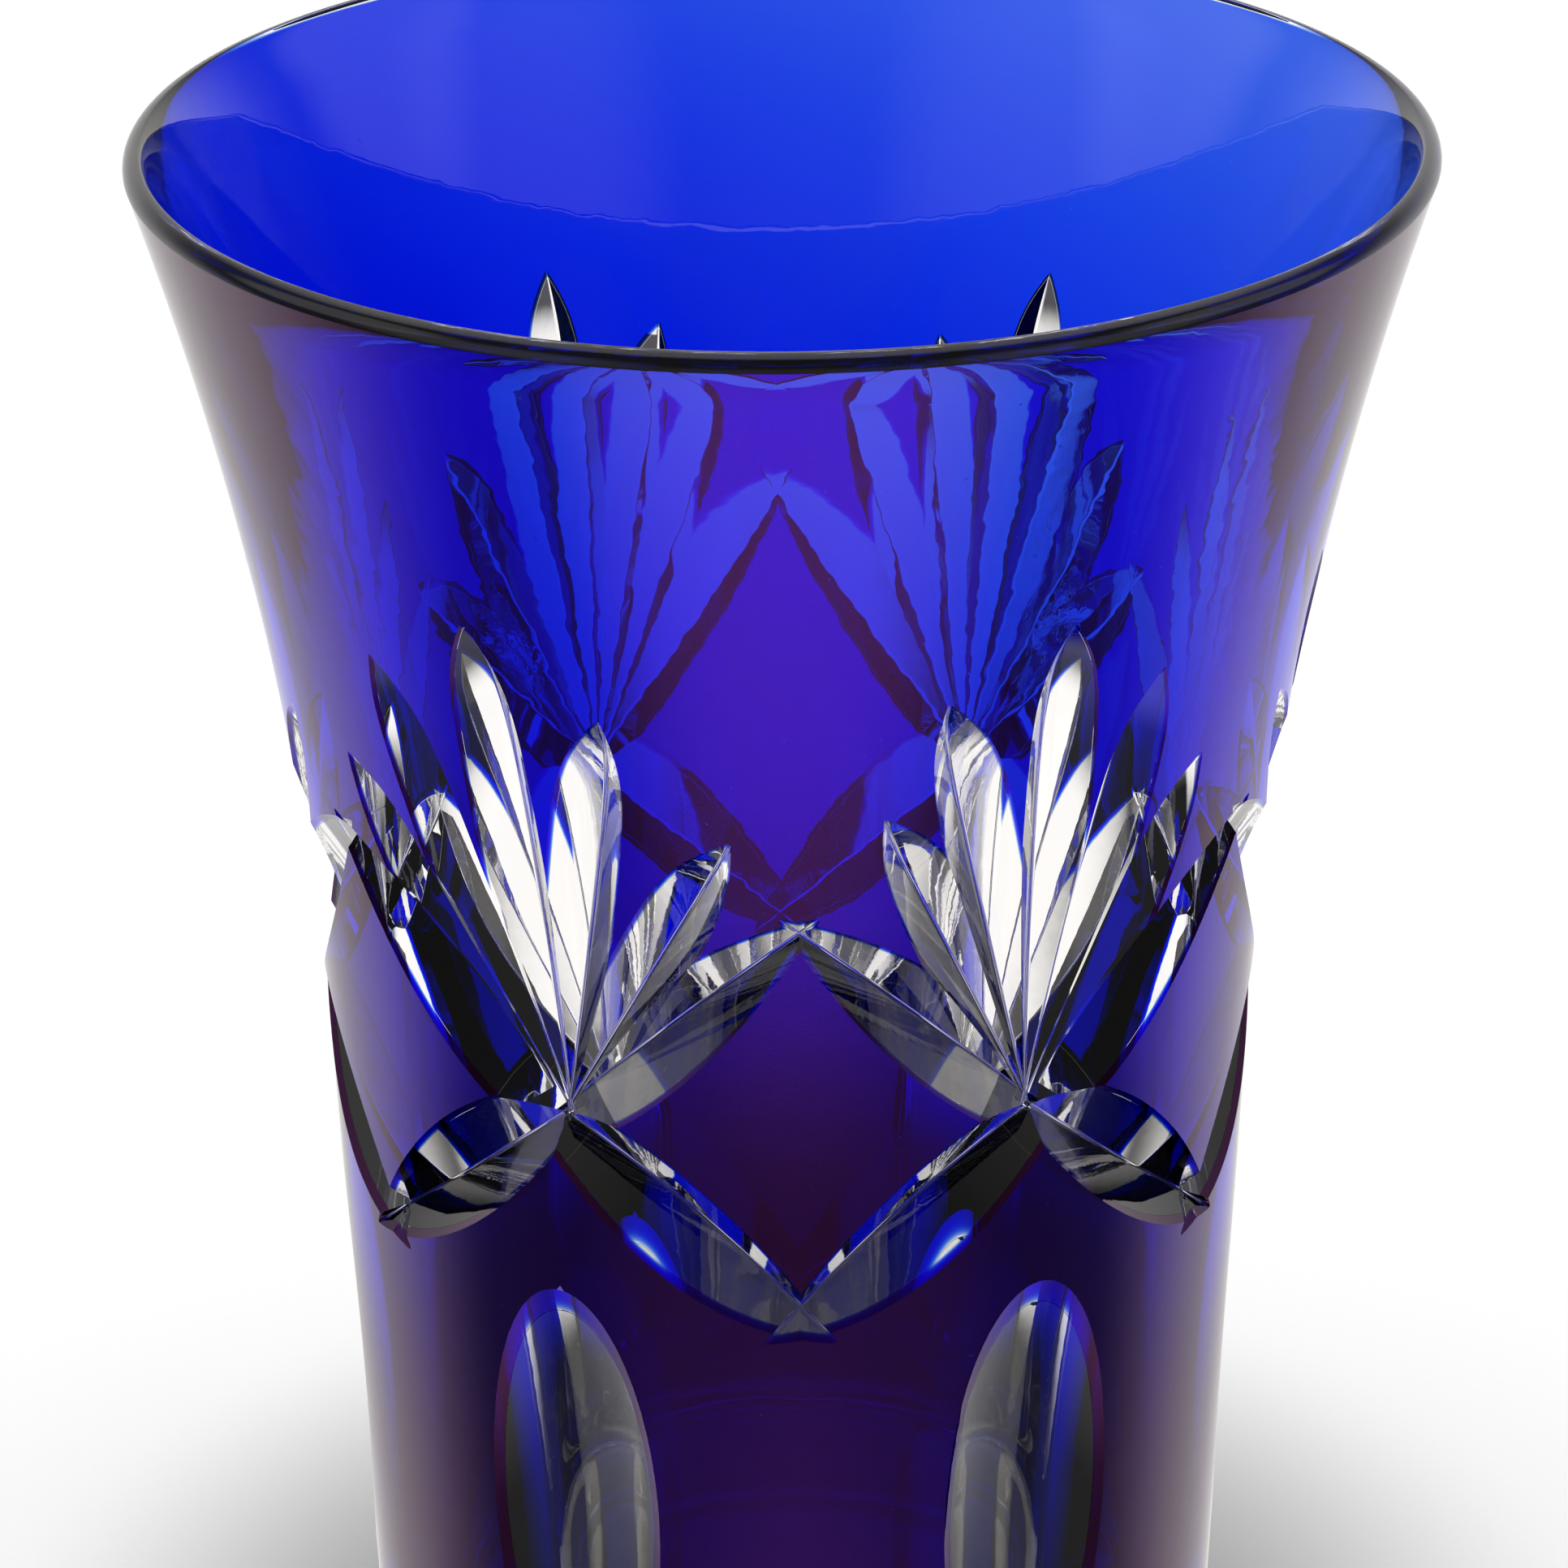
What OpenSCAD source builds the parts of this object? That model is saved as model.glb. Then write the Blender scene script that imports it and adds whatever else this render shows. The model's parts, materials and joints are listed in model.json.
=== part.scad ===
// Cut crystal vase: a heavy clear crystal body cased in a thin layer of cobalt blue glass.
// Grinding wheels have cut through the blue, so that the layer is left as a flared collar
// with pointed teeth, six diamond panels round the waist, and a skirt with six oval windows.
// The origin is the centre of the flat base, and the pattern repeats about the Z axis.

/* [Body] */
// Overall height
height = 205; // [200:1:210]
// Outer radius at the rim
rim_r = 75; // [73:0.5:77]
// Outer radius at the waist, where the flare begins
waist_r = 55.6; // [55:0.1:56]
// Height of the waist
waist_z = 90.2; // [89:0.2:92]
// Outer radius at the base
base_r = 52; // [51:0.1:53]
// Wall thickness at the rim
rim_wall = 3.6; // [3:0.1:4.5]
// Wall thickness below the waist, blue layer included
body_wall = 8.5; // [8:0.1:10]
// Thickness of the solid base
base_t = 18; // [14:1:22]
// Radius between the floor and the wall of the cavity
cavity_fillet = 12; // [6:1:16]
// Width of the bevel round the base
base_bevel = 1.5; // [1:0.1:2.5]

/* [Blue layer] */
// Thickness of the blue layer
layer_t = 0.8; // [0.7:0.1:0.9]
// Height at which the blue layer starts, above the bevel
layer_bottom = 3; // [2.5:0.5:5]
// Width of the clear lip above the blue layer
lip_band = 1.8; // [1.8:0.1:5]

/* [Mitre cuts] */
// Half the included angle of the V-edged wheel, in degrees
wheel_angle = 44; // [43:1:45]
// Height of the crossings between the diamonds
cross_z = 103.7; // [103.2:0.1:104.2]
// Height of the upper corners of the diamonds
diamond_top_z = 131.4; // [131.2:0.1:131.7]
// Height of the lower corners of the diamonds
diamond_bottom_z = 80.7; // [80.2:0.1:81.2]
// Turn of a cut past its diamond's upper corner, in degrees
top_overrun = 2.4; // [2.3:0.1:2.6]
// Turn of a cut past its diamond's lower corner, in degrees
bottom_overrun = 4.5; // [4:0.1:5]
// Turn of a cut past the crossing, in degrees
cross_overrun = 7; // [6:0.5:8]
// Depth of the cuts below the straight line between their ends
mitre_sink = 3; // [2.9:0.1:3.1]

/* [Fans] */
// Lean of every fan to the left, in degrees
fan_lean = 3.2; // [3:0.1:3.5]
// Height at which the leaves of a fan run out, just under the crossing
fan_foot_z = 99.2; // [98.2:0.1:100.2]

/* [Oval flutes] */
// Height of the centre of the ovals
oval_z = 50.2; // [49:0.1:50.4]
// Half the height of an oval
oval_half_h = 30.75; // [29:0.25:31]
// Half the width of an oval
oval_half_w = 11.5; // [10:0.1:12]
// Depth of an oval
oval_depth = 4; // [3.5:0.1:4.5]

/* [Hidden] */
$fn = 96;
repeats = 6; // the pattern is laid out in sixths of a turn
step = 360 / repeats;

// Leaves of one fan: angle of the tip from the middle leaf, height of the tip, and how far
// the wheel sinks below the straight line between the ends of the cut.
leaves = [
    [-21, 144.7, 3.9], [-13.2, 159, 4.8], [0, 168, 5.4], [13.2, 159, 4.8], [21, 144.7, 3.9]
];

lip_r = rim_wall / 2;
lip_z = height - lip_r;
layer_top = height - lip_band;
collar_foot_z = cross_z + 12; // inside the cuts, just below the collar's lowest teeth
taper = atan((waist_r - base_r) / waist_z);
reach = rim_r + 10; // beyond every outline
flare_steps = 8; // conical bands that make up the outer flare
wheel_steps = 8; // flat steps along the biting edge of a wheel
wheel_bite = 10; // radial depth of the V edge of a wheel that is drawn, more than any cut
edge_span = 44; // half the arc of a round wheel edge that is drawn, in degrees
edge_steps = 4; // flat steps along each half of that arc
wheel_spare = 3; // length of wheel drawn past each end of its cut

// The flare is an arc from a waist point to a rim point, tangent to the tapered lower wall.
function arc_end_angle(waist, rim) = 2 * atan((rim[0] - waist[0]) / (rim[1] - waist[1])) - taper;
function arc_radius(waist, rim) = (rim[1] - waist[1]) / (sin(arc_end_angle(waist, rim)) - sin(taper));
function arc_centre(waist, r) = [waist[0] + r * cos(taper), waist[1] - r * sin(taper)];

outer_waist = [waist_r, waist_z];
outer_arc_r = arc_radius(outer_waist, [rim_r, lip_z]);
outer_arc_c = arc_centre(outer_waist, outer_arc_r);
inner_waist = [waist_r - body_wall, waist_z];
inner_arc_r = arc_radius(inner_waist, [rim_r - rim_wall, lip_z]);
inner_arc_c = arc_centre(inner_waist, inner_arc_r);

// Outer radius at a height
function outer_r(z) = z < waist_z
    ? base_r + (waist_r - base_r) * z / waist_z
    : outer_arc_c[0] - sqrt(pow(outer_arc_r, 2) - pow(z - outer_arc_c[1], 2));
// Point of the outer wall at a turn from the front (-Y) and a height
function on_wall(turn, z) = [outer_r(z) * sin(turn), -outer_r(z) * cos(turn), z];
function unit(v) = v / norm(v);
// Radius of a wheel that cuts from one point to another and sinks below the line between them
function wheel_radius(from, to, sink) = (pow(norm(to - from) / 2, 2) + pow(sink, 2)) / (2 * sink);

// Outline from the axis to the outer wall, set back by inset, up to a height
module outer_2d(inset, top) {
    flare = [for (k = [0 : flare_steps]) waist_z + (lip_z - waist_z) * k / flare_steps];
    intersection() {
        polygon(concat(
            [[0, 0], [base_r - inset, 0]],
            [for (z = flare) [outer_r(z) - inset, z]],
            [[0, lip_z]]
        ));
        square([reach, top]);
    }
}

// Outline from the axis to the wall of the cavity
module cavity_2d() {
    wall = inner_waist[0] - (inner_waist[1] - base_t - cavity_fillet) * tan(taper);
    corner = [wall - cavity_fillet / cos(taper), base_t + cavity_fillet];
    touch = corner + cavity_fillet * [cos(taper), -sin(taper)];
    difference() {
        polygon([
            [0, base_t], [corner[0], base_t], touch, inner_waist,
            [reach, waist_z], [reach, lip_z], [0, lip_z]
        ]);
        translate(inner_arc_c) circle(r = inner_arc_r, $fn = 720);
    }
    translate(corner) circle(r = cavity_fillet);
}

// Outline of the blue layer between two heights
module layer_2d(bottom, top) {
    difference() {
        outer_2d(0, top);
        outer_2d(layer_t, lip_z);
        square([reach, bottom]);
    }
}

// Outline of the clear body, with its rounded lip and the bevel round its base
module body_2d() {
    difference() {
        outer_2d(0, lip_z);
        cavity_2d();
        layer_2d(layer_bottom, layer_top);
        translate([base_r, 0]) rotate(45) square(base_bevel * sqrt(2), center = true);
    }
    intersection() {
        translate([rim_r - lip_r, lip_z]) circle(r = lip_r);
        translate([0, lip_z]) square(reach);
    }
}

// Puts a wheel, drawn round the Z axis with its bite towards -Y, where it cuts from one wall
// point to another and sinks below the straight line between them.
module place_wheel(from, to, sink) {
    along = unit(to - from);
    middle = (from + to) / 2;
    radial = unit([middle[0], middle[1], 0]);
    out = unit(radial - (radial * along) * along);
    axis = cross(along, out);
    centre = middle + (wheel_radius(from, to, sink) - sink) * out;
    multmatrix([
        [along[0], out[0], axis[0], centre[0]],
        [along[1], out[1], axis[1], centre[1]],
        [along[2], out[2], axis[2], centre[2]]
    ]) children();
}

// Half the turn of a wheel between the ends of its bite, with a little to spare
function half_bite(from, to, sink) =
    asin((norm(to - from) / 2 + wheel_spare) / wheel_radius(from, to, sink));

// Biting edge of a wheel: its section, given clockwise, swept half_turn to each side of -Y in
// flat steps.
module biting_edge(section, half_turn) {
    n = len(section);
    rings = [
        for (k = [0 : wheel_steps])
            let (turn = -90 + half_turn * (2 * k / wheel_steps - 1))
            [for (p = section) [p[0] * cos(turn), p[0] * sin(turn), p[1]]]
    ];
    sides = [
        for (k = [0 : wheel_steps - 1], j = [0 : n - 1])
            let (next = (j + 1) % n)
            [n * k + j, n * (k + 1) + j, n * (k + 1) + next, n * k + next]
    ];
    polyhedron(
        points = [for (ring = rings, p = ring) p],
        faces = concat(
            [[for (j = [0 : n - 1]) j]],
            sides,
            [[for (j = [n - 1 : -1 : 0]) n * wheel_steps + j]]
        )
    );
}

// Mitre cut by a V-edged wheel
module mitre(from, to, sink) {
    radius = wheel_radius(from, to, sink);
    half_w = wheel_bite * tan(wheel_angle);
    place_wheel(from, to, sink)
        biting_edge(
            [[radius, 0], [radius - wheel_bite, -half_w], [radius - wheel_bite, half_w]],
            half_bite(from, to, sink)
        );
}

// Cuts along the upper sides of the diamonds, from the crossing at a turn
module upper_cuts(turn) {
    rise = (diamond_top_z - cross_z) / (step / 2);
    for (side = [-1, 1])
        mitre(
            on_wall(turn - side * cross_overrun, cross_z - rise * cross_overrun),
            on_wall(turn + side * (step / 2 + top_overrun), diamond_top_z + rise * top_overrun),
            mitre_sink
        );
}

// Cuts along the lower sides of the diamonds, from the crossing at a turn
module lower_cuts(turn) {
    fall = (cross_z - diamond_bottom_z) / (step / 2);
    for (side = [-1, 1])
        mitre(
            on_wall(turn - side * cross_overrun, cross_z + fall * cross_overrun),
            on_wall(turn + side * (step / 2 + bottom_overrun), diamond_bottom_z - fall * bottom_overrun),
            mitre_sink
        );
}

// Fan of pointed leaves that stands on the crossing at a turn
module fan(turn) {
    for (leaf = leaves)
        mitre(on_wall(turn, fan_foot_z), on_wall(turn + leaf[0] - fan_lean, leaf[1]), leaf[2]);
}

// Hollow oval cut by a round-edged wheel, centred at a turn
module oval(turn) {
    from = on_wall(turn, oval_z - oval_half_h);
    to = on_wall(turn, oval_z + oval_half_h);
    radius = wheel_radius(from, to, oval_depth);
    bulge = pow(oval_half_w, 2) / (2 * outer_r(oval_z));
    edge_r = pow(oval_half_w, 2) / (2 * (oval_depth - bulge));
    place_wheel(from, to, oval_depth)
        biting_edge(
            [
                for (k = [edge_steps : -1 : -edge_steps])
                    let (a = edge_span * k / edge_steps)
                    [radius - edge_r + edge_r * cos(a), edge_r * sin(a)]
            ],
            half_bite(from, to, oval_depth)
        );
}

// Draws its children once for each crossing, with its angle in $turn
module at_crossings() {
    for (i = [0 : repeats - 1]) {
        $turn = (i + 0.5) * step;
        children();
    }
}

// Prism whose sides run along the bottoms of the cuts round the diamond at a turn
module diamond_prism(turn) {
    side = outer_r(cross_z) * sin(step / 2);
    rotate([0, 0, turn])
        rotate([90, 0, 0])
            linear_extrude(height = reach)
                polygon([[side, cross_z], [0, diamond_top_z], [-side, cross_z], [0, diamond_bottom_z]]);
}

module crystal_core() {
    color([0.93, 0.95, 0.98, 0.35])
        difference() {
            rotate_extrude() body_2d();
            at_crossings() {
                upper_cuts($turn);
                lower_cuts($turn);
                fan($turn);
                oval($turn);
            }
        }
}

module collar_casing() {
    color([0.11, 0.09, 0.85])
        difference() {
            rotate_extrude() layer_2d(collar_foot_z, layer_top);
            at_crossings() {
                upper_cuts($turn);
                fan($turn);
                diamond_prism($turn + step / 2);
            }
        }
}

module diamond_panel(i) {
    turn = (i - 1) * step;
    color([0.10, 0.08, 0.62])
        difference() {
            intersection() {
                rotate_extrude() layer_2d(layer_bottom, layer_top);
                diamond_prism(turn);
            }
            for (crossing = [turn - step / 2, turn + step / 2]) {
                upper_cuts(crossing);
                lower_cuts(crossing);
            }
        }
}

module skirt_casing() {
    color([0.09, 0.06, 0.45])
        difference() {
            rotate_extrude() layer_2d(layer_bottom, cross_z);
            at_crossings() {
                lower_cuts($turn);
                oval($turn);
                diamond_prism($turn + step / 2);
            }
        }
}

crystal_core();
collar_casing();
for (i = [1 : repeats])
    diamond_panel(i);
skirt_casing();
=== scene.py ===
import json
import math

import bmesh
import bpy
import numpy as np
from mathutils import Matrix, Vector

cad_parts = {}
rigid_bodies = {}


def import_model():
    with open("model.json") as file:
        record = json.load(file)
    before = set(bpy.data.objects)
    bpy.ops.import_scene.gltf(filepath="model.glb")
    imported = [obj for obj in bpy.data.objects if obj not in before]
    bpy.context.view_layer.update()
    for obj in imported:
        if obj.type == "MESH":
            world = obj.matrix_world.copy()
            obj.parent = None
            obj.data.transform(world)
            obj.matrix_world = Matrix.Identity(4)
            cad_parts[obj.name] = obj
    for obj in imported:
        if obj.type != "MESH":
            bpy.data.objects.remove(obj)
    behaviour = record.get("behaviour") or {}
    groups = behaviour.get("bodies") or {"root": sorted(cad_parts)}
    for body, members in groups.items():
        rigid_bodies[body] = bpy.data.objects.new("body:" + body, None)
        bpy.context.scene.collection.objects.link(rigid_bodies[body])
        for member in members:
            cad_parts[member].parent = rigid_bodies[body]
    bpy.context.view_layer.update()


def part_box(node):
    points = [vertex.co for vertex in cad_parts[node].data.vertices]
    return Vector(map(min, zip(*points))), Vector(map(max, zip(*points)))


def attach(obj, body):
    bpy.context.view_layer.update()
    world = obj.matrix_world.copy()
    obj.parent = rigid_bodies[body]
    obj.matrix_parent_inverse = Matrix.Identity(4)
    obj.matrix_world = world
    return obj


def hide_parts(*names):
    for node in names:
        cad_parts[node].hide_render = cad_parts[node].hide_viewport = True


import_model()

MM = 0.001  # the shapes are worked out in mm, and the frame is in metres
CORE_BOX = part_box("crystal_core")
HEIGHT = CORE_BOX[1][2] / MM
RIM_R = CORE_BOX[1][0] / MM

# ---------------------------------------------------------------- shape of the body, in mm
WAIST_R, WAIST_Z, BASE_R = 55.6, 90.2, 52.0
RIM_WALL, BODY_WALL, BASE_T = 3.6, 8.5, 18.0
FILLET, BEVEL = 12.0, 1.5
LIP_R = RIM_WALL / 2
LIP_Z = HEIGHT - LIP_R
LAYER_BOTTOM, LAYER_TOP = 3.0, LIP_Z
LAYER_T = 0.8  # the blue layer where it is thickest
LAYER_LOSS = 0.54  # how much of that the stretching of the flare takes away by the lip
LAYER_THIN_FROM = 85.0
LAYER_UNEVEN, LAYER_THIN_TURN = 0.35, 80.0  # share by which it is thinner towards one side, and that side
SLIT = 0.02  # between the blue layer and the crystal under it
TAPER = math.atan((WAIST_R - BASE_R) / WAIST_Z)
REPEATS = 6
STEP = 360 / REPEATS
SEGMENTS = 480
WALL_ROWS = 90
LIP_FOOT = HEIGHT - 6.5  # where the inside of the lip starts to round over


def flare(waist_r, rim_r):
    """Radius and centre of the arc from a waist point to a rim point, tangent to the tapered wall."""
    end = 2 * math.atan((rim_r - waist_r) / (LIP_Z - WAIST_Z)) - TAPER
    radius = (LIP_Z - WAIST_Z) / (math.sin(end) - math.sin(TAPER))
    return radius, waist_r + radius * math.cos(TAPER), WAIST_Z - radius * math.sin(TAPER)


OUTER_ARC = flare(WAIST_R, RIM_R)
INNER_ARC = flare(WAIST_R - BODY_WALL, RIM_R - RIM_WALL)


def outer_r(z):
    """Radius of the outer wall."""
    z = np.asarray(z, float)
    radius, cr, cz = OUTER_ARC
    low = BASE_R + (WAIST_R - BASE_R) * z / WAIST_Z
    high = cr - np.sqrt(np.maximum(radius**2 - (z - cz) ** 2, 1.0))
    return np.where(z < WAIST_Z, low, high)


def outer_slope(z):
    """dr/dz of the outer wall."""
    z = np.asarray(z, float)
    radius, cr, cz = OUTER_ARC
    high = (z - cz) / np.sqrt(np.maximum(radius**2 - (z - cz) ** 2, 1.0))
    return np.where(z < WAIST_Z, (WAIST_R - BASE_R) / WAIST_Z, high)


def inner_r(z):
    """Radius of the flared part of the cavity."""
    radius, cr, cz = INNER_ARC
    return cr - np.sqrt(radius**2 - (np.asarray(z, float) - cz) ** 2)


def lower_inner_r(z):
    """Radius of the tapered part of the cavity, below the waist."""
    return WAIST_R - BODY_WALL - (WAIST_Z - z) * math.tan(TAPER)


LIP_OVER = RIM_R - LIP_R - float(inner_r(HEIGHT))  # how far the lip leans out over the cavity's arc
FOOT_R = lower_inner_r(BASE_T + FILLET) - FILLET / math.cos(TAPER)  # centre of the cavity's bottom fillet
FOOT_Z = BASE_T + FILLET


def layer_thickness(z, turn):
    """The blue layer is thinner where the flare was stretched, and a little thinner on one side."""
    z = np.asarray(z, float)
    up = np.clip((z - LAYER_THIN_FROM) / (LAYER_TOP - LAYER_THIN_FROM), 0, 1)
    even = LAYER_T - LAYER_LOSS * up**0.7
    return even * (1 - LAYER_UNEVEN * np.minimum(1.5 * up, 1) * np.cos(np.radians(turn - LAYER_THIN_TURN)))


def on_wall(turn, z):
    """The point of the outer wall at a turn from the front (-Y) towards +X, and a height."""
    r = float(outer_r(z))
    a = math.radians(turn)
    return np.array([r * math.sin(a), -r * math.cos(a), z])


# ---------------------------------------------------------------- meshes
def ring_mesh(name, rows, closed):
    """A surface of revolution. rows holds (r, z) pairs, and r is a function of the turn if it isn't round."""
    turns = np.linspace(0, 360, SEGMENTS, endpoint=False)
    sin, cos = np.sin(np.radians(turns)), -np.cos(np.radians(turns))
    verts, index = [], []
    for r, z in rows:
        radius = r(turns) if callable(r) else np.full(SEGMENTS, float(r))
        if not callable(r) and r == 0:
            index.append([len(verts)] * SEGMENTS)
            verts.append((0.0, 0.0, z))
            continue
        index.append(list(range(len(verts), len(verts) + SEGMENTS)))
        verts.extend(zip(radius * sin, radius * cos, np.full(SEGMENTS, z)))
    faces = []
    pairs = list(zip(range(len(rows) - 1), range(1, len(rows))))
    if closed:
        pairs.append((len(rows) - 1, 0))
    for low, high in pairs:
        for k in range(SEGMENTS):
            n = (k + 1) % SEGMENTS
            face = [index[low][k], index[low][n], index[high][n], index[high][k]]
            face = list(dict.fromkeys(face))
            if len(face) > 2:
                faces.append(face)
    mesh = bpy.data.meshes.new(name)
    mesh.from_pydata([tuple(v) for v in verts], [], faces)
    mesh.update()
    return mesh


def arc_rows(centre_r, centre_z, radius, start, end, steps):
    """Rows of a surface of revolution along an arc, with its angles in degrees."""
    return [
        (centre_r + radius * math.cos(math.radians(a)), centre_z + radius * math.sin(math.radians(a)))
        for a in np.linspace(start, end, steps + 1)
    ]


def inner_rows():
    """The wall of the cavity from the top of the lip down, and its floor to the axis."""
    rows = []
    for a in np.radians(np.linspace(90, 0, 25))[1:]:
        z = LIP_FOOT + (HEIGHT - LIP_FOOT) * math.sin(a)
        rows.append((float(inner_r(z)) + LIP_OVER * (1 - math.cos(a)), z))
    for z in np.linspace(LIP_FOOT, WAIST_Z, 60)[1:]:
        rows.append((float(inner_r(z)), z))
    foot = arc_rows(FOOT_R, FOOT_Z, FILLET, -math.degrees(TAPER), -90, 24)
    for z in np.linspace(WAIST_Z, foot[0][1], 24)[1:-1]:
        rows.append((lower_inner_r(z), z))
    rows += foot
    rows += [(FOOT_R * k / 8, BASE_T) for k in range(7, -1, -1)]
    return rows


def under_layer(z, gap):
    """The row of the wall under the blue layer, as a function of the turn."""
    return lambda turns: outer_r(z) - layer_thickness(z, turns) - gap


def core_mesh():
    """The clear body before it is cut."""
    rows = [(0, 0)] + [(r, 0) for r in (12, 24, 36, 46)]
    rows += [(BASE_R - BEVEL, 0), (BASE_R + (WAIST_R - BASE_R) * BEVEL / WAIST_Z, BEVEL)]
    rows += [(float(outer_r(LAYER_BOTTOM)), LAYER_BOTTOM)]
    rows += [(under_layer(z, SLIT), z) for z in np.linspace(LAYER_BOTTOM, LAYER_TOP, WALL_ROWS)]
    rows += [(float(outer_r(LAYER_TOP)), LAYER_TOP)]
    rows += arc_rows(RIM_R - LIP_R, LIP_Z, LIP_R, 0, 90, 12)
    rows += inner_rows()
    return ring_mesh("core", rows, False)


def layer_mesh():
    """The blue layer before it is cut."""
    heights = list(np.linspace(LAYER_BOTTOM + SLIT, LAYER_TOP - SLIT, WALL_ROWS))
    rows = [(float(outer_r(z)), z) for z in heights]
    rows += [(under_layer(z, 0), z) for z in reversed(heights)]
    return ring_mesh("layer", rows, True)


# ---------------------------------------------------------------- wheel cuts
COT = 1 / math.tan(math.radians(44))  # the wheel's edge is 44 degrees to each side
BITE = 12.0  # how far a wheel stands up out of its groove
FLOOR_W = 0.3  # half the width of the rounded floor of a groove
FAR = 9.0  # stands for: not on this surface
CROSS_Z, DIAMOND_TOP_Z, DIAMOND_BOTTOM_Z = 103.7, 131.4, 80.7
CROSS_PAST, TOP_PAST, BOTTOM_PAST = 7, 2.4, 4.5  # degrees by which a bow runs past its ends
BOW_SINK = 3.0
LEAF_FOOT_Z, LEAF_TIP_RISE = 102.2, 7.5  # the rise is the length over which the floor climbs to the tip


class Cut:
    """A groove in its own plane: s runs along it, o points out of the glass and w is across it."""

    def __init__(self, start, end, floor_of):
        start, end = np.array(start, float), np.array(end, float)
        self.along = (end - start) / np.linalg.norm(end - start)
        middle = (start + end) / 2
        radial = np.array([middle[0], middle[1], 0.0])
        radial /= np.linalg.norm(radial)
        out = radial - radial @ self.along * self.along
        self.out = out / np.linalg.norm(out)
        self.axis = np.cross(self.along, self.out)
        self.origin = start
        self.length = float(np.linalg.norm(end - start))
        self.s, self.floor = floor_of(self)
        self.slope = np.gradient(self.floor, self.s)

    def wall(self, s):
        """How far the outer wall stands out from the line between the ends, at w = 0."""
        o = np.zeros_like(s)
        for _ in range(30):
            p = self.origin + np.outer(s, self.along) + np.outer(o, self.out)
            o = o + (outer_r(p[:, 2]) - np.hypot(p[:, 0], p[:, 1]))
        return o

    def local(self, points):
        """s, o and w of points."""
        q = points - self.origin
        return q @ self.along, q @ self.out, q @ self.axis

    def miss(self, points):
        """Distance of points from the surface of the groove."""
        s, o, w = self.local(points)
        floor = np.interp(s, self.s, self.floor)
        off = np.abs(o - floor - self.rise(w)) / math.sqrt(1 + COT**2)
        return np.where((s > self.s[0] - 0.1) & (s < self.s[-1] + 0.1), off, FAR)

    def rise(self, w):
        """Height of the section of the groove: a rounded floor that runs into straight flanks."""
        w = np.abs(w)
        return COT * np.where(w < FLOOR_W, (w**2 / FLOOR_W + FLOOR_W) / 2, w)

    def normal(self, points):
        s, o, w = self.local(points)
        slope = np.interp(s, self.s, self.slope)
        n = (
            np.outer(-slope, self.along)
            + np.outer(np.ones_like(s), self.out)
            + np.outer(-COT * np.clip(w / FLOOR_W, -1, 1), self.axis)
        )
        return n / np.linalg.norm(n, axis=1)[:, None]

    def sections(self):
        """The wheel's sections along the groove, each a list of points."""
        across = [-BITE / COT] + [FLOOR_W * k / 3 for k in range(-3, 4)] + [BITE / COT]
        for s, floor in zip(self.s, self.floor):
            p = self.origin + s * self.along + floor * self.out
            yield [p + float(self.rise(w)) * self.out + w * self.axis for w in across]

    def mesh(self, name):
        """The sections joined into a closed solid."""
        bm = bmesh.new()
        rows = [[bm.verts.new(point) for point in section] for section in self.sections()]
        n = len(rows[0])
        for a, b in zip(rows, rows[1:]):
            for i in range(n):
                j = (i + 1) % n
                bm.faces.new((a[i], b[i], b[j], a[j]))
        bm.faces.new(reversed(rows[0]))
        bm.faces.new(rows[-1])
        bmesh.ops.recalc_face_normals(bm, faces=bm.faces)
        mesh = bpy.data.meshes.new(name)
        bm.to_mesh(mesh)
        bm.free()
        return mesh


def wheel_arc(sink, past, count):
    """The floor of a cut made by one plunge of a wheel, which goes on past both ends."""

    def floor(cut):
        radius = ((cut.length / 2) ** 2 + sink**2) / (2 * sink)
        s = np.linspace(-past, cut.length + past, count)
        return s, radius - sink - np.sqrt(radius**2 - (s - cut.length / 2) ** 2)

    return floor


def leaf_floor(depth):
    """The floor of a leaf, which starts at its foot: an even depth that rises quickly to the tip."""

    def floor(cut):
        s = np.linspace(0, cut.length + 2.5, 181)
        left = cut.length - s  # to the tip
        below = np.where(left < 0, left * depth / LEAF_TIP_RISE, depth * np.tanh(left / LEAF_TIP_RISE))
        return s, cut.wall(s) - below

    return floor


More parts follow.
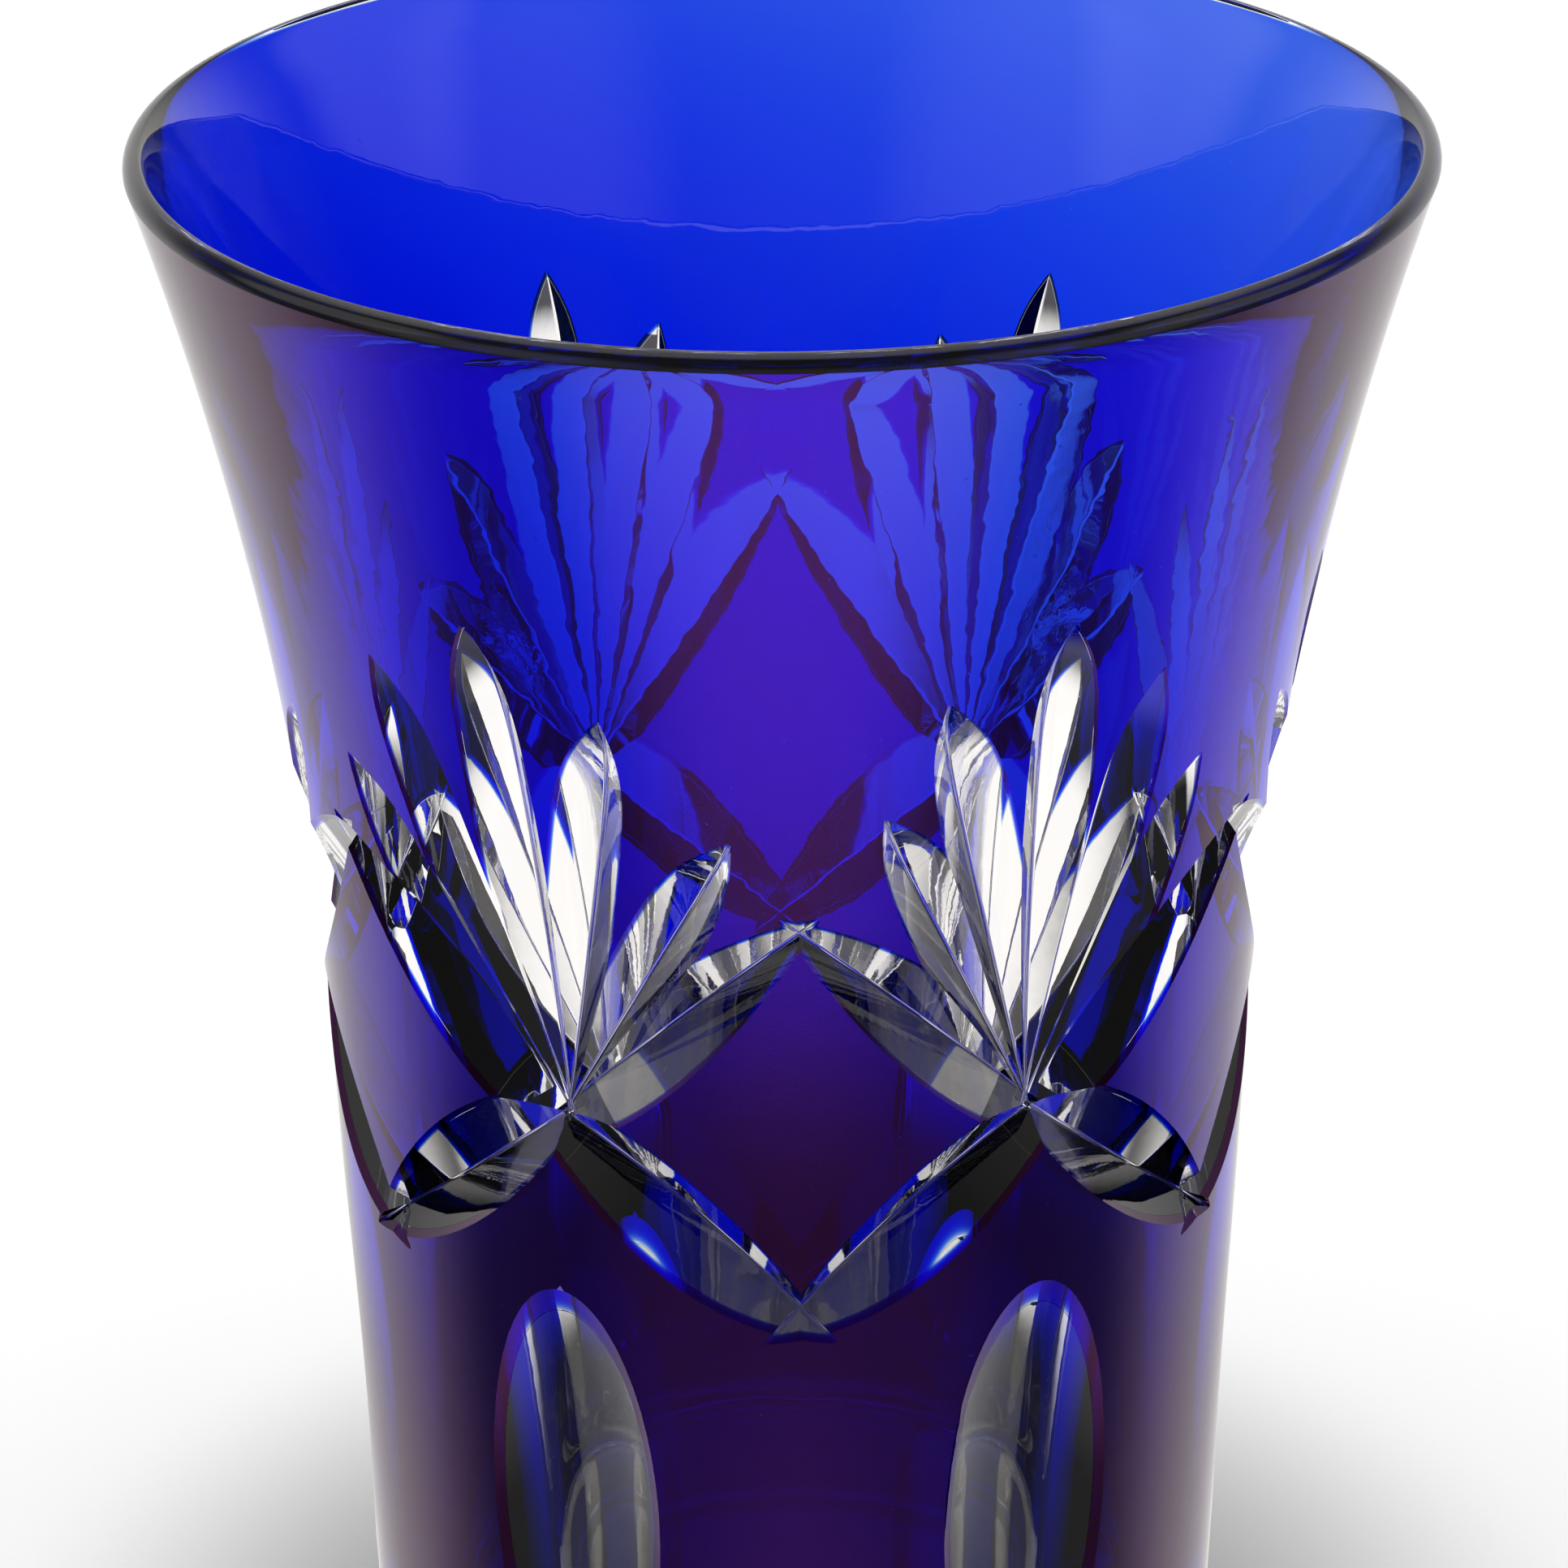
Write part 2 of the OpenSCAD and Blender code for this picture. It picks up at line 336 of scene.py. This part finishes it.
class Oval(Cut):
    """A hollow cut by a round-edged wheel: its surface is part of a torus."""

    PAST = 4.0

    def __init__(self, start, end, depth, half_w):
        Cut.__init__(self, start, end, wheel_arc(depth, self.PAST, 141))
        bulge = half_w**2 / (2 * float(outer_r((start[2] + end[2]) / 2)))
        self.edge = half_w**2 / (2 * (depth - bulge))
        self.wheel = (self.length / 2) ** 2 / (2 * depth) + depth / 2
        self.hub = (start + end) / 2 + (self.wheel - depth) * self.out
        self.ring = self.wheel - self.edge

    def torus(self, points):
        """Points from the wheel's hub: along, out, across, and the distance from its axle."""
        q = points - self.hub
        a, o, w = q @ self.along, q @ self.out, q @ self.axis
        return a, o, w, np.hypot(a, o)

    def miss(self, points):
        """Distance of points from the surface of the hollow."""
        a, o, w, rho = self.torus(points)
        off = np.abs(np.hypot(rho - self.ring, w) - self.edge)
        return np.where((o < 0) & (np.abs(a) < self.length / 2 + self.PAST + 0.5), off, FAR)

    def normal(self, points):
        a, o, w, rho = self.torus(points)
        radial = np.outer(a / rho, self.along) + np.outer(o / rho, self.out)
        n = radial * (rho - self.ring)[:, None] + np.outer(w, self.axis)
        return -n / np.linalg.norm(n, axis=1)[:, None]

    def sections(self):
        span = math.asin((self.length / 2 + self.PAST) / self.wheel)
        for turn in np.linspace(-span, span, 97):
            d = math.sin(turn) * self.along - math.cos(turn) * self.out
            yield [
                self.hub + (self.ring + self.edge * math.cos(a)) * d + self.edge * math.sin(a) * self.axis
                for a in np.radians(np.linspace(-48, 48, 65))
            ]


# The tips of the leaves: turn from the middle of the fan, and height. The two fans at the front differ a
# little, as hand cutting leaves them, and the others take their mean.
LEFT_FAN = [(-25.7, 143.7), (-17.5, 159.3), (-3.6, 167.6), (10.1, 158.0), (23.0, 143.4)]
RIGHT_FAN = [(-21.3, 146.2), (-15.3, 160.2), (-2.7, 168.0), (9.8, 158.7), (18.6, 144.6)]
MEAN_FAN = [tuple((np.array(a) + b) / 2) for a, b in zip(LEFT_FAN, RIGHT_FAN)]
LEAF_DEPTHS = [4.6, 4.7, 4.7, 4.7, 4.6]
OVAL_Z, OVAL_HALF_H, OVAL_HALF_W, OVAL_DEPTH = 50.2, 30.75, 11.5, 4.0


def bow(turn, side, end_z, past):
    """One side of a diamond: a bow from before the crossing to past the diamond's top or bottom corner."""
    climb = (end_z - CROSS_Z) / (STEP / 2)
    start = on_wall(turn - side * CROSS_PAST, CROSS_Z - climb * CROSS_PAST)
    end = on_wall(turn + side * (STEP / 2 + past), end_z + climb * past)
    return Cut(start, end, wheel_arc(BOW_SINK, 2.0, 161))


def all_cuts():
    """Every cut of the pattern: for each repeat four bows, five leaves and an oval."""
    cuts = []
    for i in range(REPEATS):
        turn = (i + 0.5) * STEP
        for side in (-1, 1):
            cuts.append(bow(turn, side, DIAMOND_TOP_Z, TOP_PAST))
            cuts.append(bow(turn, side, DIAMOND_BOTTOM_Z, BOTTOM_PAST))
        fan = {0: RIGHT_FAN, REPEATS - 1: LEFT_FAN}.get(i, MEAN_FAN)
        for (lean, tip), depth in zip(fan, LEAF_DEPTHS):
            cuts.append(Cut(on_wall(turn, LEAF_FOOT_Z), on_wall(turn + lean, tip), leaf_floor(depth)))
        low, high = on_wall(turn, OVAL_Z - OVAL_HALF_H), on_wall(turn, OVAL_Z + OVAL_HALF_H)
        cuts.append(Oval(low, high, OVAL_DEPTH, OVAL_HALF_W))
    return cuts


CUTS = all_cuts()


def carve(mesh, name):
    """Cuts every groove out of a mesh."""
    body = bpy.data.objects.new(name, mesh)
    bpy.context.scene.collection.objects.link(body)
    wheels = bpy.data.collections.new(name + "_wheels")
    bpy.context.scene.collection.children.link(wheels)
    for k, cut in enumerate(CUTS):
        wheels.objects.link(bpy.data.objects.new(f"{name}_wheel_{k}", cut.mesh(f"{name}_wheel_{k}")))
    boolean = body.modifiers.new("cut", "BOOLEAN")
    boolean.operation = "DIFFERENCE"
    boolean.operand_type = "COLLECTION"
    boolean.collection = wheels
    boolean.solver = "MANIFOLD"
    bpy.context.view_layer.update()
    evaluated = body.evaluated_get(bpy.context.evaluated_depsgraph_get())
    result = bpy.data.meshes.new_from_object(evaluated)
    for tool in list(wheels.objects):
        data = tool.data
        bpy.data.objects.remove(tool)
        bpy.data.meshes.remove(data)
    bpy.data.collections.remove(wheels)
    bpy.data.objects.remove(body)
    bpy.data.meshes.remove(mesh)
    result.name = name
    return result


def read(collection, key, width=1, kind=float):
    """One property of every item of a mesh's collection, as an array."""
    values = np.empty(len(collection) * width, kind)
    collection.foreach_get(key, values)
    return values if width == 1 else values.reshape(-1, width)


def radius_of(p):
    return np.hypot(p[:, 0], p[:, 1])


def turn_of(p):
    return np.degrees(np.arctan2(p[:, 0], -p[:, 1]))


def revolved(p, nr, nz):
    """Normals of a surface of revolution at p, from how much of each points outwards and upwards."""
    r = np.maximum(radius_of(p), 1e-6)
    n = np.stack([p[:, 0] / r * nr, p[:, 1] / r * nr, np.broadcast_to(nz, r.shape)], 1)
    return n / np.linalg.norm(n, axis=1)[:, None]


# Each surface of revolution is a pair of functions of points: how far they are from it, and its normal there.
def wall_surface(depth_of, facing):
    """The outer wall, or the wall at some depth under it."""

    def miss(p):
        off = np.abs(radius_of(p) - (outer_r(p[:, 2]) - depth_of(p)))
        return np.where((p[:, 2] > LAYER_BOTTOM - 0.01) & (p[:, 2] < LAYER_TOP + 0.01), off, FAR)

    return miss, lambda p: revolved(p, facing, -facing * outer_slope(p[:, 2]))


def flare_surface():
    radius, cr, cz = INNER_ARC

    def miss(p):
        off = np.abs(np.hypot(cr - radius_of(p), p[:, 2] - cz) - radius)
        return np.where((p[:, 2] > WAIST_Z - 0.01) & (p[:, 2] < LIP_FOOT + 0.01), off, FAR)

    return miss, lambda p: revolved(p, (radius_of(p) - cr) / radius, (p[:, 2] - cz) / radius)


def cone_surface():
    def miss(p):
        off = np.abs(radius_of(p) - lower_inner_r(p[:, 2]))
        return np.where((p[:, 2] < WAIST_Z + 0.01) & (p[:, 2] > FOOT_Z - 1), off, FAR)

    return miss, lambda p: revolved(p, -1, math.tan(TAPER))


def fillet_surface():
    def miss(p):
        off = np.abs(np.hypot(radius_of(p) - FOOT_R, p[:, 2] - FOOT_Z) - FILLET)
        return np.where((radius_of(p) > FOOT_R - 0.01) & (p[:, 2] < FOOT_Z + 0.01), off, FAR)

    return miss, lambda p: revolved(p, -(radius_of(p) - FOOT_R), -(p[:, 2] - FOOT_Z))


def lip_surface():
    """The quarter circle outside the top of the lip."""
    centre_r = RIM_R - LIP_R

    def miss(p):
        off = np.abs(np.hypot(radius_of(p) - centre_r, p[:, 2] - LIP_Z) - LIP_R)
        return np.where((p[:, 2] > LIP_Z - 0.01) & (radius_of(p) > centre_r - 0.001), off, FAR)

    return miss, lambda p: revolved(p, radius_of(p) - centre_r, p[:, 2] - LIP_Z)


def lip_inside_surface():
    """The long curve from the cavity's arc over to the top of the lip."""
    radius, cr, cz = INNER_ARC

    def angle(p):
        return np.arcsin(np.clip((p[:, 2] - LIP_FOOT) / (HEIGHT - LIP_FOOT), 0, 1))

    def tangent(p):
        a = angle(p)
        dz = (HEIGHT - LIP_FOOT) * np.cos(a)
        slope = (p[:, 2] - cz) / np.sqrt(radius**2 - (p[:, 2] - cz) ** 2)
        return slope * dz + LIP_OVER * np.sin(a), dz

    def miss(p):
        dr, dz = tangent(p)
        r = inner_r(np.clip(p[:, 2], LIP_FOOT, HEIGHT)) + LIP_OVER * (1 - np.cos(angle(p)))
        off = np.abs(radius_of(p) - r) * dz / np.hypot(dr, dz)
        return np.where((p[:, 2] > LIP_FOOT - 0.01) & (radius_of(p) < RIM_R - LIP_R + 0.001), off, FAR)

    def normal(p):
        dr, dz = tangent(p)
        return revolved(p, -dz, dr)

    return miss, normal


PLAIN, BONDED, GROUND = 0, 1, 2
NEAR = 0.05  # a face this close to a surface at all its corners lies on it


def shade(mesh, blue):
    """Gives each corner the true normal of the surface it lies on, and marks the bonded and the cut faces."""
    bm = bmesh.new()
    bm.from_mesh(mesh)
    bmesh.ops.triangulate(bm, faces=[f for f in bm.faces if len(f.verts) > 4])
    bmesh.ops.dissolve_degenerate(bm, dist=1e-6, edges=bm.edges)
    bm.to_mesh(mesh)
    bm.free()
    corners = read(mesh.vertices, "co", 3)[read(mesh.loops, "vertex_index", kind=int)]
    starts = read(mesh.polygons, "loop_start", kind=int)
    face_of = np.repeat(np.arange(len(starts)), np.diff(np.append(starts, len(corners))))
    flat = read(mesh.polygons, "normal", 3)
    sums = np.stack([np.bincount(face_of, corners[:, k]) for k in range(3)], 1)
    centre = sums / np.bincount(face_of)[:, None]

    best = np.full(len(starts), 1e9)
    normals = flat[face_of].copy()
    kind = np.full(len(starts), PLAIN)

    def offer(faces, surface, mark):
        """Takes a surface for the faces that lie on it more closely than on any other so far."""
        miss_of, normal_of = surface
        pick = np.isin(face_of, faces) if len(faces) < len(starts) else np.ones(len(corners), bool)
        off = np.zeros(len(starts))
        np.maximum.at(off, face_of[pick], miss_of(corners[pick]))
        took = np.zeros(len(starts), bool)
        took[faces] = off[faces] < np.minimum(best[faces], NEAR)
        best[took] = off[took]
        kind[took] = mark
        corner = took[face_of]
        if corner.any():
            normals[corner] = normal_of(corners[corner])

    everything = np.arange(len(starts))
    if blue:
        offer(everything, wall_surface(lambda p: 0, 1), PLAIN)
        offer(everything, wall_surface(lambda p: layer_thickness(p[:, 2], turn_of(p)), -1), BONDED)
    else:
        offer(everything, wall_surface(lambda p: layer_thickness(p[:, 2], turn_of(p)) + SLIT, 1), BONDED)
        for surface in (flare_surface(), cone_surface(), fillet_surface(), lip_surface(), lip_inside_surface()):
            offer(everything, surface, PLAIN)
    for cut in CUTS:
        s, o, w = cut.local(centre)
        close = np.nonzero((s > -6) & (s < cut.length + 6) & (np.abs(w) < 16) & (np.abs(o) < 14))[0]
        if len(close):
            offer(close, (cut.miss, cut.normal), GROUND)

    # a level face, such as the floor, the base or a ledge, keeps its own normal, and the ledges are bonded
    level = np.abs(flat[:, 2]) > 0.9999
    for z in (LAYER_BOTTOM, LAYER_TOP):
        kind[level & (np.abs(centre[:, 2] - z) < NEAR)] = BONDED
    own = level[face_of] | ((normals * flat[face_of]).sum(1) < 0.5)
    normals[own] = flat[face_of][own]
    for name, mark in (("bonded", BONDED), ("ground", GROUND)):
        layer = mesh.attributes.new(name, "FLOAT", "FACE")
        layer.data.foreach_set("value", (kind == mark).astype(np.float32))
    mesh.polygons.foreach_set("use_smooth", np.ones(len(starts), bool))
    mesh.normals_split_custom_set([tuple(n) for n in normals])
    mesh.transform(Matrix.Scale(MM, 4))
    mesh.update()


def islands(mesh):
    """A label for each vertex, the same all over each loose part of the mesh."""
    parent = np.arange(len(mesh.vertices))
    edges = read(mesh.edges, "vertices", 2, int)
    while True:
        low = np.minimum(parent[edges[:, 0]], parent[edges[:, 1]])
        new = parent.copy()
        np.minimum.at(new, edges[:, 0], low)
        np.minimum.at(new, edges[:, 1], low)
        new = new[new]
        if (new == parent).all():
            break
        parent = new
    return parent


def node_of_island(points):
    """The CAD node that a loose part of the blue layer stands for."""
    low, high = points[:, 2].min(), points[:, 2].max()
    centre = points.mean(0)
    if high > 180:
        return "collar_casing"
    if low < 30:
        return "skirt_casing"
    turn = math.degrees(math.atan2(centre[0], -centre[1])) % 360
    return f"diamond_panel_{int(round(turn / STEP)) % REPEATS + 1}"


def split_layer(mesh):
    """One mesh for each part of the blue layer, by its node's name."""
    points = read(mesh.vertices, "co", 3)
    label = islands(mesh)
    groups = {}
    for root in np.unique(label):
        members = np.nonzero(label == root)[0]
        groups.setdefault(node_of_island(points[members]), []).append(members)
    parts = {}
    for node, members in groups.items():
        keep = np.zeros(len(points), bool)
        keep[np.concatenate(members)] = True
        bm = bmesh.new()
        bm.from_mesh(mesh)
        bm.verts.ensure_lookup_table()
        bmesh.ops.delete(bm, geom=[v for v, k in zip(bm.verts, keep) if not k], context="VERTS")
        part = bpy.data.meshes.new(node)
        bm.to_mesh(part)
        bm.free()
        parts[node] = part
    return parts


# ---------------------------------------------------------------- materials
class Nodes:
    """Short ways to add nodes to a tree."""

    def __init__(self, tree):
        self.tree = tree
        tree.nodes.clear()

    def put(self, socket, value):
        """Links a node or a socket to socket, or sets it to a value."""
        if isinstance(value, bpy.types.Node):
            value = value.outputs[0]
        if isinstance(value, bpy.types.NodeSocket):
            self.tree.links.new(value, socket)
        else:
            socket.default_value = value

    def link(self, kind, **inputs):
        """A new node with values or sockets for the inputs named, with _ for a space."""
        node = self.tree.nodes.new(kind)
        for name, value in inputs.items():
            self.put(node.inputs[name.replace("_", " ")], value)
        return node

    def node(self, kind, operation, *inputs):
        """A new math or vector math node."""
        node = self.tree.nodes.new(kind)
        node.operation = operation
        for socket, value in zip(node.inputs, inputs):
            self.put(socket, value)
        return node

    def math(self, operation, *inputs):
        return self.node("ShaderNodeMath", operation, *inputs).outputs[0]

    def add(self, *values):
        total = values[0]
        for value in values[1:]:
            total = self.math("ADD", total, value)
        return total

    def ramp(self, value, low, high, at_low, at_high):
        """A smooth step of value, from at_low below low to at_high above high."""
        node = self.tree.nodes.new("ShaderNodeMapRange")
        node.interpolation_type = "SMOOTHSTEP"
        for socket, v in zip(node.inputs, (value, low, high, at_low, at_high)):
            self.put(socket, v)
        return node.outputs[0]

    def attribute(self, name):
        node = self.tree.nodes.new("ShaderNodeAttribute")
        node.attribute_name = name
        return node.outputs["Fac"]

    def mix(self, factor, first, second):
        node = self.tree.nodes.new("ShaderNodeMixShader")
        for socket, value in zip(node.inputs, (factor, first, second)):
            self.put(socket, value)
        return node


IOR = 1.545  # of lead crystal


def glass(name, base, absorb=None, density=0.0, tint=(1, 1, 1, 1)):
    """Polished glass, which lets light straight through where it is fused to the other glass."""
    material = bpy.data.materials.new(name)
    material.use_nodes = True
    nodes = Nodes(material.node_tree)
    place = nodes.link("ShaderNodeTexCoord").outputs["Object"]
    ground = nodes.attribute("ground")
    # a slow waviness from the hot glass, the fine lines of the wheel on the cuts, and a few dull specks
    waves = nodes.link("ShaderNodeTexNoise", Vector=place, Scale=160.0, Detail=2.0)
    along = nodes.link("ShaderNodeMapping", Vector=place, Scale=(1.0, 1.0, 0.1))
    lines = nodes.link("ShaderNodeTexNoise", Vector=along, Scale=1100.0, Detail=2.0)
    lines = nodes.math("MULTIPLY", lines, nodes.math("MULTIPLY", ground, 0.2))
    bump = nodes.link("ShaderNodeBump", Strength=0.05, Distance=0.0004, Height=nodes.add(waves, lines))
    dust = nodes.link("ShaderNodeTexNoise", Vector=place, Scale=1100.0, Detail=0.0)
    surface = nodes.link(
        "ShaderNodeBsdfPrincipled",
        Base_Color=base,
        IOR=IOR,
        Transmission_Weight=1.0,
        Specular_Tint=tint,
        Roughness=nodes.ramp(dust, 0.86, 0.9, 0.0, 0.2),
        Normal=bump,
    )
    through = nodes.link("ShaderNodeBsdfTransparent")
    fused = nodes.mix(nodes.attribute("bonded"), surface, through)
    out = nodes.link("ShaderNodeOutputMaterial", Surface=fused)
    if absorb:
        nodes.put(out.inputs["Volume"], nodes.link("ShaderNodeVolumeAbsorption", Color=absorb, Density=density))
    return material


# the paper's white, and its grey at the base under the painted shadow
PAPER_WHITE, PAPER_PAINTED_SHADOW = 0.95, 0.52
WARM_WHITE = (1.0, 0.985, 0.965, 1)


def distance(nodes, x, y):
    """The distance of a point from the axis, as a socket."""
    return nodes.math("SQRT", nodes.math("ADD", nodes.math("MULTIPLY", x, x), nodes.math("MULTIPLY", y, y)))


def floor_material():
    """Pale paper to look at, with a painted shadow around the base. Through the glass it shows as painted
    light, an emission that is dark close to the vase, where it stands for the vase's shadow.
    """
    material = bpy.data.materials.new("studio_floor")
    material.use_nodes = True
    nodes = Nodes(material.node_tree)
    place = nodes.link("ShaderNodeTexCoord").outputs["Object"]
    x, y, _ = nodes.link("ShaderNodeSeparateXYZ", Vector=place).outputs
    fibres = nodes.link("ShaderNodeTexNoise", Vector=place, Scale=900.0, Detail=3.0)
    # painted shadow: the paper's colour darkens close to the base, on top of the shadow the lamp casts
    painted_base_shadow = nodes.ramp(distance(nodes, x, y), 0.05, 0.108, PAPER_PAINTED_SHADOW, PAPER_WHITE)
    shade = nodes.math("SUBTRACT", painted_base_shadow, nodes.math("MULTIPLY", fibres, 0.02))
    grey = nodes.link("ShaderNodeCombineXYZ", X=shade, Y=shade, Z=shade)
    paper = nodes.link("ShaderNodeBsdfDiffuse", Color=grey)
    behind = nodes.math("SUBTRACT", y, 0.05)  # the painted shadow of the vase is centred a little behind it
    painted_vase_shadow = nodes.ramp(distance(nodes, x, behind), 0.08, 0.2, 0.025, 1.0)
    painted_floor_light = nodes.ramp(nodes.math("ABSOLUTE", x), 0.3, 0.55, 1.08, 0.1)  # painted light, as wide as a roll of paper
    # painted light: through the glass the floor glows as an emission, not lit paper, dimmed by the painted
    # shadow
    glow = nodes.link("ShaderNodeEmission", Strength=nodes.math("MULTIPLY", painted_floor_light, painted_vase_shadow), Color=WARM_WHITE)
    through = nodes.link("ShaderNodeLightPath").outputs["Is Transmission Ray"]
    nodes.link("ShaderNodeOutputMaterial", Surface=nodes.mix(through, paper, glow))
    return material


CRYSTAL = glass("clear_crystal", (0.985, 0.975, 0.965, 1))
COBALT, COBALT_DENSITY = (0.0, 0.353, 0.953, 1), 15000.0  # a metre absorbs (1 - colour) times the density
VIOLET_SHEEN = (1.0, 0.2, 1.0, 1)  # of its reflections, which have less green
BLUE = glass("cobalt_casing", (1, 1, 1, 1), COBALT, COBALT_DENSITY, VIOLET_SHEEN)

# ---------------------------------------------------------------- pieces
core = carve(core_mesh(), "cut_crystal_body")
shade(core, False)
core.materials.clear()
core.materials.append(CRYSTAL)
body = bpy.data.objects.new("cut_crystal_body", core)
bpy.context.scene.collection.objects.link(body)
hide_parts("crystal_core")
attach(body, "root")

for node, part in split_layer(carve(layer_mesh(), "layer_cut")).items():
    shade(part, True)
    part.materials.clear()
    part.materials.append(BLUE)
    piece = bpy.data.objects.new("cobalt_" + node, part)
    bpy.context.scene.collection.objects.link(piece)
    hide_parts(node)
    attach(piece, "root")

# ---------------------------------------------------------------- studio
FLOOR = 6.0  # half its side, in m
floor_mesh = bpy.data.meshes.new("studio_floor")
corners = [(-FLOOR, -FLOOR, 0), (FLOOR, -FLOOR, 0), (FLOOR, FLOOR, 0), (-FLOOR, FLOOR, 0)]
floor_mesh.from_pydata(corners, [], [(0, 1, 2, 3)])
floor_mesh.materials.append(floor_material())
floor = bpy.data.objects.new("studio_floor", floor_mesh)
floor.location.z = -0.0005  # just clear of the base, so that the two never coincide
bpy.context.scene.collection.objects.link(floor)
floor.visible_glossy = False

lamp_data = bpy.data.lights.new("overhead_softbox", "AREA")
lamp_data.shape = "SQUARE"
lamp_data.size = 6.0
lamp_data.energy = 136.0
lamp = bpy.data.objects.new("overhead_softbox", lamp_data)
lamp.location = (0, 0.4, 3.0)
lamp.visible_glossy = False
lamp.visible_transmission = False
bpy.context.scene.collection.objects.link(lamp)

world = bpy.data.worlds.new("studio")
bpy.context.scene.world = world
world.use_nodes = True
sky = Nodes(world.node_tree)
direction = sky.link("ShaderNodeTexCoord").outputs["Generated"]


def lobe(azimuth, elevation, inner, outer, strength):
    """A soft round light in the surroundings, all angles in degrees. Azimuth 0 is behind the vase, 90 right."""
    a, e = math.radians(azimuth), math.radians(elevation)
    to = (math.sin(a) * math.cos(e), math.cos(a) * math.cos(e), math.sin(e))
    dot = sky.node("ShaderNodeVectorMath", "DOT_PRODUCT", direction, to).outputs["Value"]
    return sky.ramp(dot, math.cos(math.radians(outer)), math.cos(math.radians(inner)), 0.0, strength)


# what the glass reflects, and what shows through it above the horizon
total = sky.add(
    0.13,
    lobe(0, -30, 45, 80, 0.85),  # the lit backdrop
    lobe(0, -72, 12, 32, -1.1),  # the floor under the vase, in its shadow
    lobe(0, 68, 20, 42, 0.95),  # overhead, towards the back
    lobe(-92, 26, 14, 26, 0.6),  # a softbox on each side, and a weaker one by each side of the camera
    lobe(92, 26, 14, 26, 0.55),
    lobe(-128, 10, 4, 34, 0.4),
    lobe(128, 10, 4, 34, 0.4),
    lobe(180, -66, 12, 34, 0.85),  # the lit table in front
    lobe(180, -28, 20, 50, 0.2),
)
lit = sky.link("ShaderNodeBackground", Strength=sky.math("MAXIMUM", total, 0.0), Color=WARM_WHITE)
plain = sky.link("ShaderNodeBackground", Strength=1.1, Color=(1, 1, 1, 1))
seen = sky.link("ShaderNodeLightPath").outputs["Is Camera Ray"]
sky.link("ShaderNodeOutputWorld", Surface=sky.mix(seen, lit, plain))

scene = bpy.context.scene
scene.view_settings.view_transform = "Standard"
scene.cycles.max_bounces = 28
scene.cycles.transmission_bounces = 28
scene.cycles.glossy_bounces = 12
scene.cycles.transparent_max_bounces = 32

# ---------------------------------------------------------------- camera
camera_data = bpy.data.cameras.new("camera")
camera_data.sensor_width = 36
camera_data.lens = 135.05
camera_data.clip_start, camera_data.clip_end = 0.01, 50
camera = bpy.data.objects.new("camera", camera_data)
scene.collection.objects.link(camera)
scene.camera = camera
PITCH, YAW, ROLL = math.radians(24.495), math.radians(1.1229), math.radians(-0.4903)
camera.location = (-0.01295, -0.64145, 0.41515)
aim = Vector((math.sin(YAW), math.cos(YAW), 0))
forward = (aim * math.cos(PITCH) - Vector((0, 0, math.sin(PITCH)))).normalized()
right = forward.cross(Vector((0, 0, 1))).normalized()
x_axis = right * math.cos(ROLL) + right.cross(forward) * math.sin(ROLL)
y_axis = x_axis.cross(forward)
turned = Matrix((x_axis, y_axis, -forward)).transposed().to_4x4()
camera.matrix_world = Matrix.Translation(camera.location) @ turned
